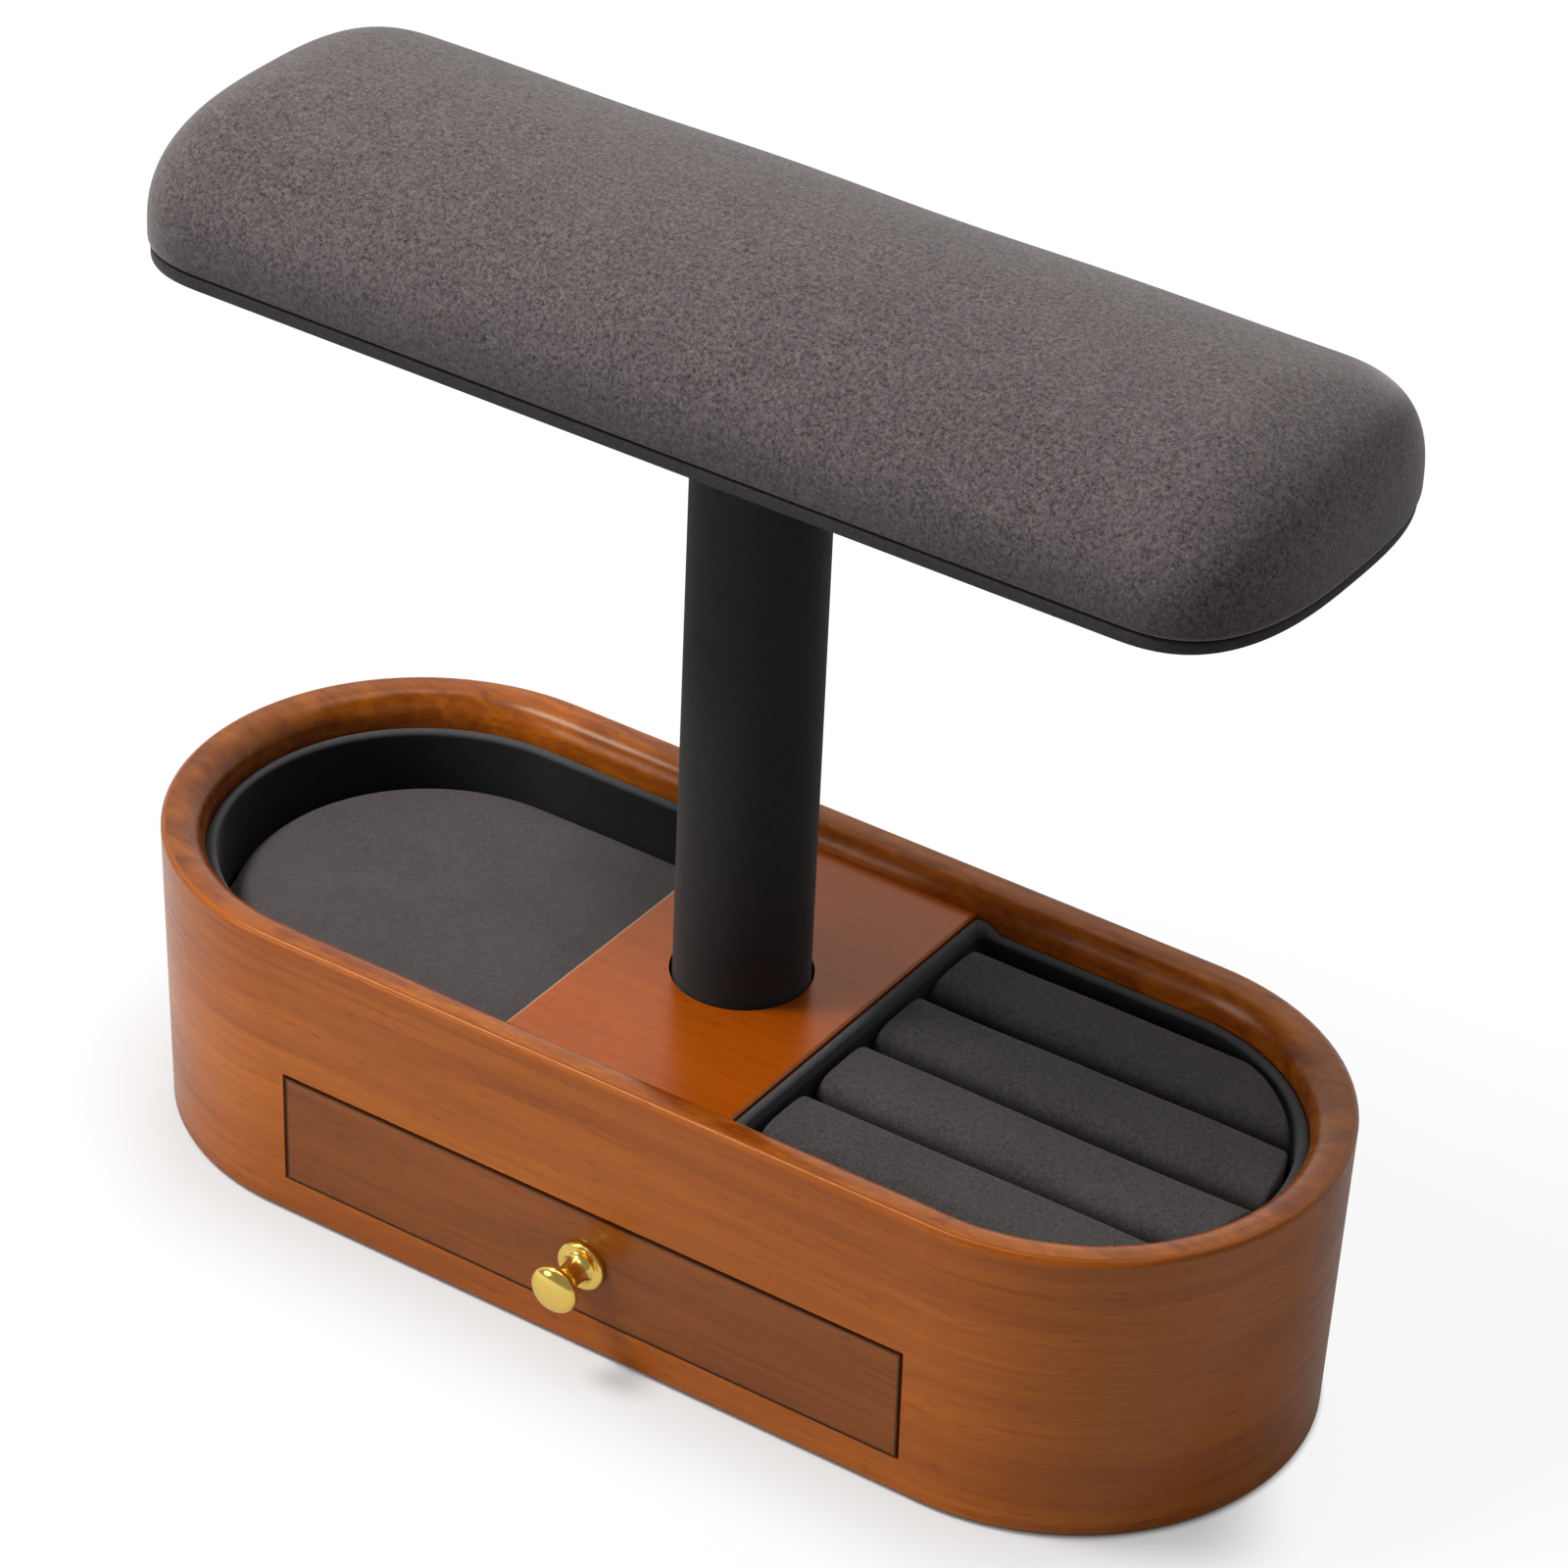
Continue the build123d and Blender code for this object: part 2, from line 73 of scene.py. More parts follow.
# The camera that took the photograph, from the outlines of the stand
CAMERA_AZIMUTH, CAMERA_ELEVATION, CAMERA_ROLL = np.radians((32.68, 33.29, 2.62))
CAMERA_DISTANCE = 1.05622
CAMERA_AIM = Vector((0, 0, 0.09))
CAMERA_SLIDE = (0.00634, 0.00583)
CAMERA_LENS = 137.13
CAMERA_SENSOR = 36.0


# Meshes from grids


def shell_of(name, grid, loop_rows=False):
    """A closed skin over a grid of points (row, column, xyz): columns always close on themselves, rows if asked.

    Rows that shrink to a point or a line are merged, so that the ends of the skin are closed too.
    """
    rows, columns = grid.shape[:2]
    corner = np.arange(rows * columns).reshape(rows, columns)
    if loop_rows:
        corner = np.vstack([corner, corner[:1]])
    beside = np.roll(corner, -1, axis=1)
    quads = np.stack([corner[:-1], beside[:-1], beside[1:], corner[1:]], axis=-1).reshape(-1, 4)
    mesh = bpy.data.meshes.new(name)
    mesh.from_pydata(grid.reshape(-1, 3).tolist(), [], quads.tolist())
    form = bmesh.new()
    form.from_mesh(mesh)
    bmesh.ops.remove_doubles(form, verts=form.verts, dist=1e-6)
    bmesh.ops.recalc_face_normals(form, faces=form.faces)
    form.to_mesh(mesh)
    form.free()
    mesh.polygons.foreach_set("use_smooth", np.ones(len(mesh.polygons), bool))
    piece = bpy.data.objects.new(name, mesh)
    bpy.context.scene.collection.objects.link(piece)
    return piece


def dress(piece, body, slot, finish, *nodes):
    """Gives a new piece its finish, lets it ride on its body, and hides the nodes it stands for. The slot is not used.
    """
    piece.data.materials.append(finish)
    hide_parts(*nodes)
    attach(piece, body)


def ripple(points, size, depth, seed):
    """Depth times the mean of three sines over the points, about size apart: the unevenness of cloth over foam."""
    turns = np.random.default_rng(seed).normal(size=(3, 3))
    waves = points @ (turns / np.linalg.norm(turns, axis=1, keepdims=True)).T * (2 * np.pi / size)
    return depth * np.sin(waves + seed).mean(axis=-1)


def evenly(line, count):
    """Count points at equal steps along a line given as (axis, point)."""
    steps = np.linalg.norm(np.diff(line, axis=1), axis=0)
    way = np.concatenate([[0], np.cumsum(steps)])
    return np.stack([np.interp(np.linspace(0, way[-1], count), way, axis) for axis in line])


def arc(middle, radii, start, stop, steps=8):
    """Points (radius, height) of an elliptic arc between two angles."""
    turn = np.linspace(start, stop, steps)
    return [(middle[0] + radii[0] * np.cos(a), middle[1] + radii[1] * np.sin(a)) for a in turn]


# Outlines in plan


def bar_plan(inset=0.0, columns=480):
    """The bar's outline, drawn in by inset, as a core point on the middle line and an arm from it: (columns, xy).

    Straight sides have arms square to them. At each end the arm turns through half a circle and its tip follows the
    superellipse |x / depth|^n + |y / half width|^n = 1.
    """
    depth, half_width = BAR_END_DEPTH - inset, COVER_HIGH.y - inset
    straight = COVER_HIGH.x + BAR_OVERHANG - BAR_END_DEPTH
    ends, sides = columns // 3, columns // 6
    turn = np.linspace(-QUARTER, QUARTER, ends, endpoint=False)
    tip = np.stack([np.cos(turn), np.sin(turn)])
    tip = np.sign(tip) * np.abs(tip) ** (2 / BAR_END_POWER)
    run = np.linspace(straight, -straight, sides, endpoint=False)
    level = np.zeros_like(run)
    core_x = np.concatenate([np.full(ends, straight), run, np.full(ends, -straight), -run])
    arm_x = depth * np.concatenate([tip[0], level, -tip[0], level])
    arm_y = half_width * np.concatenate([tip[1], level + 1, -tip[1], level - 1])
    return np.stack([core_x, np.zeros_like(core_x)], 1), np.stack([arm_x, arm_y], 1)


def tray_plan(low, high, inset, corner):
    """The outline of a tray to the right of the block, drawn in by inset, as (points, xy).

    A half circle about the case's end, two straight sides and the side along the block, with corner as the radius
    where they meet. Every inset gives the same number of points, in the same places round the outline.
    """
    near, radius = low + inset, high - inset
    bend = np.linspace(-QUARTER, QUARTER, 96)
    side = np.linspace(0, 1, 40, endpoint=False)[1:]
    fold = np.linspace(0, QUARTER, 10)
    along = CASE_STRAIGHT + (near + corner - CASE_STRAIGHT) * side
    across = (radius - corner) * (1 - 2 * side)
    from_side, from_block = corner * (1 - np.cos(fold)), corner * (1 - np.sin(fold))
    x = [CASE_STRAIGHT + radius * np.cos(bend), along, near + from_block]
    y = [radius * np.sin(bend), np.full_like(side, radius), radius - from_side]
    x += [np.full_like(side, near), near + from_side, along[::-1]]
    y += [across, from_block - radius, np.full_like(side, -radius)]
    return np.stack([np.concatenate(x), np.concatenate(y)], 1)


# Pieces


def bar_cover(finish):
    """Suede over a shaped former: the plan's arms shrink by a share while the height grows as
    low wall + crown (1 - share^2)^(1 / power), and the lower edge turns in over the plate."""
    low_wall, hem, power = 3 * MM, 1.5 * MM, 2.5
    foot = COVER_LOW.z + 0.15 * MM
    top = COVER_HIGH.z + 0.2 * MM
    uneven_above = 8 * MM
    core, arm = bar_plan()
    share = np.sin(np.linspace(QUARTER, 0, 72))
    wall_top = COVER_LOW.z + low_wall
    rise = wall_top + (top - wall_top) * (1 - share**2) ** (1 / power)
    curl = np.linspace(-QUARTER, 0, 6, endpoint=False)
    turned_in = 1 - hem * (1 - np.cos(curl)) / COVER_HIGH.y
    share = np.concatenate([[0.0, 0.9], turned_in, [1.0, 1.0], share[1:]])
    rise = np.concatenate([[foot, foot], foot + hem * (1 + np.sin(curl)), [foot + hem, rise[0]], rise[1:]])
    grid = np.empty((len(share), len(core), 3))
    grid[..., :2] = core + share[:, None, None] * arm
    grid[..., 2] = rise[:, None]
    uneven = np.clip((grid[..., 2] - foot) / uneven_above, 0, 1)
    grid[..., 2] += ripple(grid, size=55 * MM, depth=0.25 * MM, seed=3) * uneven
    piece = shell_of("bar_suede_cover", grid)
    dress(piece, "stand", "bar_suede", finish, "bar_cover", "bar_former")


def bar_plate(finish):
    """The board under the bar: the bar's plan, a little shorter, with edges rounded to quarter circles."""
    soft, length_share = 0.4 * MM, 0.994
    low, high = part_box("bar_plate")
    turn = np.linspace(0, QUARTER, 5)
    inset = soft * np.concatenate([1 - np.sin(turn), 1 - np.cos(turn)])
    rise = np.concatenate([low.z + soft * (1 - np.cos(turn)), high.z - soft * (1 - np.sin(turn))])
    rings = [sum(bar_plan(step)) for step in inset]
    middle = bar_plan()[0]
    grid = np.empty((len(rings) + 2, len(middle), 3))
    grid[..., :2] = np.stack([middle, *rings, middle])
    grid[..., 2] = np.concatenate([[low.z], rise, [high.z]])[:, None]
    grid[..., 0] *= length_share
    dress(shell_of("bar_plate_board", grid), "stand", "plate", finish, "bar_plate")


def watch_pad(finish):
    """A flat pad with a rounded edge: the tray's outline drawn in along a quarter round, then shrunk to its middle."""
    low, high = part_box("left_tray_pad")
    edge, tuck, crown = 4.2 * MM, 1.5 * MM, 0.35 * MM
    thickness = high.z - low.z + 1.3 * MM
    length_share = 0.983
    roll = np.linspace(0, QUARTER, 13)[1:]
    drawn_in = np.concatenate([[tuck, 0.0, 0.0], edge * (1 - np.cos(roll))])
    rise = np.concatenate([[0, 0.4 * MM, thickness - edge], thickness - edge * (1 - np.sin(roll))])
    rings = [tray_plan(-high.x, high.y, inset, 3 * MM) for inset in drawn_in]
    middle = np.clip(rings[-1][:, :1], -high.x + 20 * MM, CASE_STRAIGHT) * (1, 0)
    share = np.array([0.93, 0.82, 0.66, 0.46, 0.24, 0.0])
    rings += [middle + (rings[-1] - middle) * part for part in share]
    rings.insert(0, middle)
    rise = low.z + np.concatenate([[0], rise, thickness + crown * (1 - share**2)])
    grid = np.empty((len(rings), len(middle), 3))
    grid[..., :2] = np.stack(rings)
    grid[..., 2] = rise[:, None]
    grid[..., 2] += ripple(grid, size=40 * MM, depth=0.15 * MM, seed=5) * (grid[..., 2] > low.z + 1 * MM)
    grid[..., 0] = -(BLOCK_HIGH.x + (grid[..., 0] - BLOCK_HIGH.x) * length_share)
    piece = shell_of("watch_pad", grid)
    dress(piece, "stand", "pad_suede", finish, "left_tray_pad")


def roll_section(half, height):
    """A roll's section as shares of its half width and height, over a flat foot: |y|^4.4 + |z|^5 = 1."""
    side_power, top_power = 4.4, 5
    turn = np.linspace(0, np.pi, 2001)
    arch_y = np.sign(np.cos(turn)) * np.abs(np.cos(turn)) ** (2 / side_power)
    arch_z = np.sin(turn) ** (2 / top_power)
    arch_y, arch_z = evenly(np.stack([arch_y * half, arch_z * height]), 81) / ((half,), (height,))
    foot = np.linspace(-1, 1, 9)[1:-1]
    return np.concatenate([arch_y, foot]), np.concatenate([arch_z, np.zeros_like(foot)])


def ring_roll(node, finish, seed):
    """A section carried along the case from the block to the curved lining, its two ends drawn in to a round.

    At a distance s from an end, under the end's round r, the section keeps e + (1 - e) (1 - (1 - s / r)^2.2)^(1 / 2.2)
    of its size, with e as the share left at the very end. A point's way along the roll runs from the block's side to
    x = end centre + (reach^2 - y^2)^0.5, so that the far end follows the lining.
    """
    end_round, end_power, end_share = 1 * MM, 2.2, 0.93
    low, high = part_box(node)
    middle, half, height = (low.y + high.y) / 2, (high.y - low.y) / 2, high.z - low.z
    across, upward = roll_section(half, height)
    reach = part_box("right_tray_board")[1].x - CASE_STRAIGHT - 0.2 * MM
    near_end = end_round * (1 - np.cos(np.linspace(0, QUARTER, 10)))
    size = (1 - (1 - near_end / end_round) ** end_power) ** (1 / end_power)
    size = end_share + (1 - end_share) * size
    far = CASE_STRAIGHT + np.sqrt(np.maximum(reach**2 - (middle + half * across) ** 2, 0))
    straight = far - low.x - 2 * end_round
    rows = [(np.full_like(far, low.x + step), share) for step, share in zip(near_end, size)]
    rows += [(low.x + end_round + part * straight, 1.0) for part in np.linspace(0, 1, 40)[1:-1]]
    rows += [(far - step, share) for step, share in zip(near_end[::-1], size[::-1])]
    along, size = np.stack([x for x, _ in rows]), np.array([share for _, share in rows])[:, None]
    grid = np.stack([along, middle + half * across * size, low.z + height * upward * size], axis=-1)
    caps = grid[[0, -1]].mean(axis=1, keepdims=True) * np.ones((1, len(across), 1))
    grid = np.concatenate([caps[:1], grid, caps[1:]])
    lift = np.clip((grid[..., 2] - low.z) / height, 0, 1)
    grid[..., 2] += ripple(grid, size=34 * MM, depth=0.25 * MM, seed=seed) * lift
    grid[..., 1] += ripple(grid, size=48 * MM, depth=0.2 * MM, seed=seed + 7) * lift
    piece = shell_of(node.replace("ring_roll", "ring_roll_suede"), grid)
    dress(piece, "stand", "roll_suede", finish, node)


def tray_lining(node, side, finish, block_drop):
    """Cloth over card: a tall section with a full round lip, carried round the tray's outline.

    Along the block its lip stands lower by block_drop, or higher where that is less than nothing, and climbs or
    sinks in the corners.
    """
    wall, lip, foot, climb_length = 2.2 * MM, 1.1 * MM, 4 * MM, 4 * MM
    low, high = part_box(node)
    near = low.x if side > 0 else -high.x
    over = np.linspace(np.pi, 0, 15)
    drawn_in = np.concatenate([[0.0, 0.0], lip + lip * np.cos(over), [wall, wall]])
    rise = np.concatenate([[0, foot], high.z - low.z - lip + lip * np.sin(over), [foot, 0]])
    corner = 0.7 * MM + 0.3 * drawn_in
    rings = [tray_plan(near, high.y, inset, round_) for inset, round_ in zip(drawn_in, corner)]
    grid = np.empty((len(rings), len(rings[0]), 3))
    grid[..., :2] = np.stack(rings)
    climb = np.clip((grid[..., 0] - near - wall) / climb_length, 0, 1)
    drop = block_drop * (1 - climb**2 * (3 - 2 * climb))
    grid[..., 2] = low.z + rise[:, None] - drop * (rise[:, None] > foot)
    grid[..., 0] *= side
    dress(shell_of(node + "_cloth", grid, loop_rows=True), "stand", "lining", finish, node)


def post_sleeve(finish):
    """Cloth glued round the post: a plain tube, closed through its bore, with its top and bottom edges softened."""
    thickness, soft = 0.6 * MM, 0.2 * MM
    outer, inner = SLEEVE_HIGH.x, SLEEVE_HIGH.x - thickness
    low, high = SLEEVE_LOW.z, SLEEVE_HIGH.z
    turn = np.linspace(0, 2 * np.pi, 128, endpoint=False)
    heights = np.linspace(low + soft, high - soft, 40)
    radius = np.concatenate([[inner, outer - soft], np.full_like(heights, outer), [outer - soft, inner]])
    rise = np.concatenate([[low, low], heights, [high, high]])
    grid = np.empty((len(radius), len(turn), 3))
    grid[..., 0] = radius[:, None] * np.cos(turn)
    grid[..., 1] = radius[:, None] * np.sin(turn)
    grid[..., 2] = rise[:, None]
    dress(shell_of("post_sleeve_cloth", grid, loop_rows=True), "stand", "sleeve", finish, "post_sleeve")


def base_felt(finish):
    """A felt slab on the stadium of the case's cavity, with its lower edge cut off at a slant."""
    cut = 0.3 * MM
    radius = FELT_HIGH.y
    straight = FELT_HIGH.x - radius
    turn = np.linspace(0, 2 * np.pi, 160, endpoint=False)
    core = np.stack([np.sign(np.cos(turn)) * straight, np.zeros_like(turn)], 1)
    arm = np.stack([np.cos(turn), np.sin(turn)], 1)
    reach = np.array([0, radius - cut, radius, radius, 0])
    grid = np.empty((len(reach), len(turn), 3))
    grid[..., :2] = core + reach[:, None, None] * arm
    grid[..., 2] = np.array([0, 0, cut, FELT_HIGH.z, FELT_HIGH.z])[:, None]
    dress(shell_of("base_felt_pad", grid), "stand", "felt", finish, "base_felt")


def knob(finish):
    """A turned knob: a profile of radius against height, spun about the line that leaves the leaning front squarely."""
    flange, waist, head, length = 4.9 * MM, 2.3 * MM, 4.8 * MM, 11 * MM
    foot, rim, soft = 1.5 * MM, 8.5 * MM, 0.35 * MM
    flange_break, flange_round, neck_flare = 0.2 * MM, 0.6 * MM, 1.3 * MM
    neck = (rim - 1.1 * MM - foot) / 2
    profile = [(0, 0), (flange - flange_break, 0), (flange, flange_break)]
    profile += arc((flange - flange_round, foot - flange_round), (flange_round, flange_round), 0, QUARTER)
    profile += arc((waist + neck_flare, foot + neck), (neck_flare, neck), 3 * QUARTER, QUARTER, 24)
    profile += arc((head - soft, rim), (soft, soft), -QUARTER, 0)
    profile += arc((0, rim + soft), (head, length - rim - soft), 0, QUARTER, 24)
    radius, rise = np.array(profile).T
    middle = Vector((0, 0, (FRONT_LOW.z + FRONT_HIGH.z) / 2))
    middle.y = -(FOOT_RADIUS + CASE_LEAN * middle.z / CASE_HIGH.z)
    outward = Vector((0, -CASE_HIGH.z, -CASE_LEAN)).normalized()
    sideways = outward.cross(Vector((1, 0, 0)))
    turn = np.linspace(0, 2 * np.pi, 96, endpoint=False)
    ring = np.cos(turn)[:, None] * (1, 0, 0) + np.sin(turn)[:, None] * np.array(sideways)
    grid = np.array(middle) + radius[:, None, None] * ring + rise[:, None, None] * np.array(outward)
    dress(shell_of("drawer_knob_brass", grid), "drawer", "brass", finish, "knob")


# Shader building blocks


class Nodes:
    """A short way to add nodes to a tree and join them."""

    def __init__(self, tree):
        self.tree = tree
        self.link = tree.links.new

    def add(self, kind, values=None, **settings):
        """A node with these settings. Values are set on its sockets, or linked to them if they are outputs."""
        node = self.tree.nodes.new(kind)
        for key, value in settings.items():
            setattr(node, key, value)
        for key, value in (values or {}).items():
            if isinstance(value, bpy.types.NodeSocket):
                self.link(value, node.inputs[key])
            else:
                node.inputs[key].default_value = value
        return node

    def maths(self, operation, *values):
        return self.add("ShaderNodeMath", dict(enumerate(values)), operation=operation).outputs[0]

    def point(self):
        return self.add("ShaderNodeTexCoord").outputs["Object"]

    def split(self, vector):
        return self.add("ShaderNodeSeparateXYZ", {0: vector}).outputs

    def noise(self, vector, scale, detail=2.0, roughness=0.5, distortion=0.0):
        values = {"Vector": vector, "Scale": scale, "Detail": detail, "Roughness": roughness}
        return self.add("ShaderNodeTexNoise", {**values, "Distortion": distortion}).outputs["Fac"]

    def streaks(self, vector, scale, detail=2.0, roughness=0.5, distortion=0.0):
        """Noise with its own scale along each axis."""
        stretched = self.add("ShaderNodeMapping", {"Vector": vector, "Scale": scale}).outputs[0]
        return self.noise(stretched, 1.0, detail, roughness, distortion)

    def about(self, value, middle, factor, base):
        """The value's distance from the middle, times the factor, on top of the base."""
        return self.maths("MULTIPLY_ADD", self.maths("SUBTRACT", value, middle), factor, base)

    def fade(self, value, start, end, low=0.0, high=1.0, curve="SMOOTHSTEP"):
        """Goes from low to high while the value goes from start to end."""
        values = {0: value, 1: start, 2: end, 3: low, 4: high}
        return self.add("ShaderNodeMapRange", values, interpolation_type=curve).outputs[0]

    def mix(self, share, first, second):
        return self.add("ShaderNodeMix", {0: share, 6: first, 7: second}, data_type="RGBA").outputs[2]

    def scaled(self, colour, factor):
        return self.add("ShaderNodeVectorMath", {0: colour, 3: factor}, operation="SCALE").outputs[0]


def new_group(name, inputs, outputs):
    """An empty shader group, with socket types by socket name, and its inner ends."""
    group = bpy.data.node_groups.new(name, "ShaderNodeTree")
    for label, kind in inputs.items():
        group.interface.new_socket(label, in_out="INPUT", socket_type=f"NodeSocket{kind}")
    for label, kind in outputs.items():
        group.interface.new_socket(label, in_out="OUTPUT", socket_type=f"NodeSocket{kind}")
    nodes = Nodes(group)
    return nodes, nodes.add("NodeGroupInput").outputs, nodes.add("NodeGroupOutput").inputs


def suede_group():
    """Suede: fine specks of light and dark fibre, broad patches where the nap lies another way, and a fine bump."""
    darkest = 0.25
    nodes, given, out = new_group(
        "suede_nap",
        {"Vector": "Vector", "Colour": "Color", "Speck": "Float"},
        {"Colour": "Color", "Height": "Float"},
    )
    point = given["Vector"]
    specks = nodes.noise(point, 1150, roughness=0.6)
    fibres = nodes.noise(point, 2600, detail=1.0)
    patches = nodes.noise(point, 95, detail=3.0, roughness=0.55, distortion=0.4)
    broad = nodes.noise(point, 22)
    fine = nodes.maths("ADD", nodes.maths("SUBTRACT", specks, 0.5), nodes.maths("SUBTRACT", fibres, 0.5))
    light = nodes.maths("MULTIPLY_ADD", fine, given["Speck"], 1.0)
    light = nodes.about(patches, 0.5, 0.3, light)
    light = nodes.about(broad, 0.5, 0.25, light)
    nodes.link(nodes.scaled(given["Colour"], nodes.maths("MAXIMUM", light, darkest)), out["Colour"])
    height = nodes.maths("ADD", nodes.maths("MULTIPLY", specks, 0.6), nodes.maths("MULTIPLY", fibres, 0.4))
    nodes.link(height, out["Height"])
    return nodes.tree


def front_face(nodes, height):
    """How far from the middle line the leaning side of the case stands at a height."""
    return nodes.maths("MULTIPLY_ADD", height, CASE_LEAN / CASE_HIGH.z, FOOT_RADIUS)


def way_beyond(nodes, far):
    """How far a point lies beyond the straight part of the case, given its distance |x| from the middle."""
    return nodes.maths("MAXIMUM", nodes.maths("SUBTRACT", far, CASE_STRAIGHT), 0.0)


def case_path_group():
    """Turns a point of the case into (way round the case, height, depth from the middle line).

    The way round is |x| along the straight sides, and the end's radius times the angle about the end's centre beyond
    them; it counts from the middle of the front and, from a far start, from the middle of the back. On the rim, which
    is milled from straight planks, the point itself is used, so that the grain crosses the rim at both ends. Shade is
    painted shade: it darkens the two ends, and the rim's top too, as if less light fell there.
    """
    back_start, end_shade, top_shade = 0.7, 0.72, -0.2
    nodes, given, out = new_group(
        "case_path", {"Vector": "Vector"}, {"Path": "Vector", "Shade": "Float", "Rim": "Float"}
    )
    spot = nodes.split(given["Vector"])
    far, across = nodes.maths("ABSOLUTE", spot["X"]), nodes.maths("ABSOLUTE", spot["Y"])
    beyond = way_beyond(nodes, far)
    turn = nodes.maths("ARCTAN2", beyond, across)
    way = nodes.maths("MULTIPLY_ADD", turn, CASE_RADIUS, nodes.maths("MINIMUM", far, CASE_STRAIGHT))
    way = nodes.maths("MULTIPLY", way, nodes.maths("SIGN", spot["X"]))
    way = nodes.maths("MULTIPLY_ADD", nodes.maths("GREATER_THAN", spot["Y"], 0.0), back_start, way)
    squares = nodes.maths("MULTIPLY_ADD", beyond, beyond, nodes.maths("MULTIPLY", across, across))
    depth = nodes.maths("SQRT", squares)
    path = nodes.add("ShaderNodeCombineXYZ", {0: way, 1: spot["Z"], 2: depth}).outputs[0]
    inward = nodes.maths("SUBTRACT", front_face(nodes, spot["Z"]), depth)
    rim = nodes.fade(inward, 0.5 * MM, 1.1 * MM)
    # Painted shade: the two ends and the top of the rim are darkened as if less light fell on them
    ends = nodes.fade(far, CASE_STRAIGHT + 5 * MM, CASE_HIGH.x - 8 * MM, 1.0, end_shade)
    top = nodes.fade(spot["Z"], CASE_HIGH.z - 3.5 * MM, CASE_HIGH.z - 1 * MM, 0.0, top_shade)
    nodes.link(nodes.mix(rim, path, given["Vector"]), out["Path"])
    nodes.link(nodes.maths("MULTIPLY", ends, nodes.maths("MULTIPLY_ADD", rim, top, 1.0)), out["Shade"])
    nodes.link(rim, out["Rim"])
    return nodes.tree


def wood_group():
    """Stained close-grained wood along the first axis: wandering figure, fine fibre lines, short pores."""
    even_tone, pore_share = 0.42, 0.55
    nodes, given, out = new_group(
        "stained_grain",
        {
            "Vector": "Vector",
            "Light": "Color",
            "Dark": "Color",
            "Contrast": "Float",
            "Shade": "Float",
            "Mottle": "Float",
            "Roughness": "Float",
        },
        {"Colour": "Color", "Roughness": "Float", "Height": "Float"},
    )
    point = given["Vector"]
    figure = nodes.streaks(point, (7, 95, 95), detail=4.0, roughness=0.55, distortion=0.8)
    fibre = nodes.streaks(point, (22, 900, 900), detail=3.0, roughness=0.55)
    pores = nodes.streaks(point, (260, 1900, 1900))
    cloud = nodes.streaks(point, (9, 20, 20))
    mottle = nodes.streaks(point, (85, 210, 210), detail=3.0, roughness=0.6, distortion=0.9)
    pore = nodes.fade(pores, 0.57, 0.70, curve="LINEAR")
    tone = nodes.about(figure, 0.5, 1.1, even_tone)
    tone = nodes.about(fibre, 0.5, 0.8, tone)
    tone = nodes.about(cloud, 0.5, 0.8, tone)
    tone = nodes.about(mottle, 0.45, given["Mottle"], tone)
    tone = nodes.about(tone, even_tone, given["Contrast"], even_tone)
    share = nodes.add("ShaderNodeClamp", {0: tone}).outputs[0]
    colour = nodes.mix(share, given["Light"], given["Dark"])
    colour = nodes.mix(nodes.maths("MULTIPLY", pore, pore_share), colour, given["Dark"])
    height = nodes.maths("SUBTRACT", nodes.maths("MULTIPLY", fibre, 0.3), nodes.maths("MULTIPLY", pore, 0.7))
    # Shade scales the colour: painted shade, where the case's path gives it
    nodes.link(nodes.scaled(colour, given["Shade"]), out["Colour"])
    nodes.link(nodes.maths("MULTIPLY_ADD", fibre, 0.12, given["Roughness"]), out["Roughness"])
    nodes.link(height, out["Height"])
    return nodes.tree


# Finishes


def new_finish(name, **sockets):
    """A material with a Principled shader set to the plain values, returned with its nodes and shader."""
    finish = bpy.data.materials.new(name)
    finish.use_nodes = True
    shader = finish.node_tree.nodes["Principled BSDF"]
    for label, value in sockets.items():
        shader.inputs[label.replace("_", " ")].default_value = value
    return finish, Nodes(finish.node_tree), shader


def bump(nodes, shader, height, distance, strength):
    """Feeds a height through a Bump node into the shader's normal."""
    relief = nodes.add("ShaderNodeBump", {"Height": height, "Distance": distance, "Strength": strength})
    nodes.link(relief.outputs[0], shader.inputs["Normal"])


def suede(name, group, colour, speck=1.0, sheen=0.08, rise=None):
    """Suede or cloth of one colour. A rise of (low, high, below, above) scales the colour from height to height, for
    painted shade and painted highlights.
    """
    finish, nodes, shader = new_finish(
        name,
        Roughness=0.95,
        Specular_IOR_Level=0.12,
        Sheen_Weight=sheen,
        Sheen_Roughness=0.45,
        Sheen_Tint=(0.8, 0.78, 0.76, 1),
    )
    point = nodes.point()
    values = {"Vector": point, "Colour": (*colour, 1), "Speck": speck}
    nap = nodes.add("ShaderNodeGroup", values, node_tree=group)
    shade = nap.outputs["Colour"]
    # Painted shade and highlights: the colour scaled by height
    if rise:
        shade = nodes.scaled(shade, nodes.fade(nodes.split(point)["Z"], *rise))
    nodes.link(shade, shader.inputs["Base Color"])
    bump(nodes, shader, nap.outputs["Height"], 0.25 * MM, 0.5)
    return finish


def painted_edge_highlight(nodes, point, colour):
    """The colour lightened along the block's upper left edge: a painted highlight on its chamfer."""
    spot = nodes.split(point)
    left = nodes.fade(spot["X"], 0.8 * MM - BLOCK_HIGH.x, 0.5 * MM - BLOCK_HIGH.x, curve="LINEAR")
    upper = nodes.fade(spot["Z"], BLOCK_HIGH.z - 0.8 * MM, BLOCK_HIGH.z - 0.4 * MM, curve="LINEAR")
    # Painted highlight: a pale mix along the upper left chamfer
    return nodes.mix(nodes.maths("MULTIPLY", left, upper), colour, (0.40, 0.24, 0.14, 1))


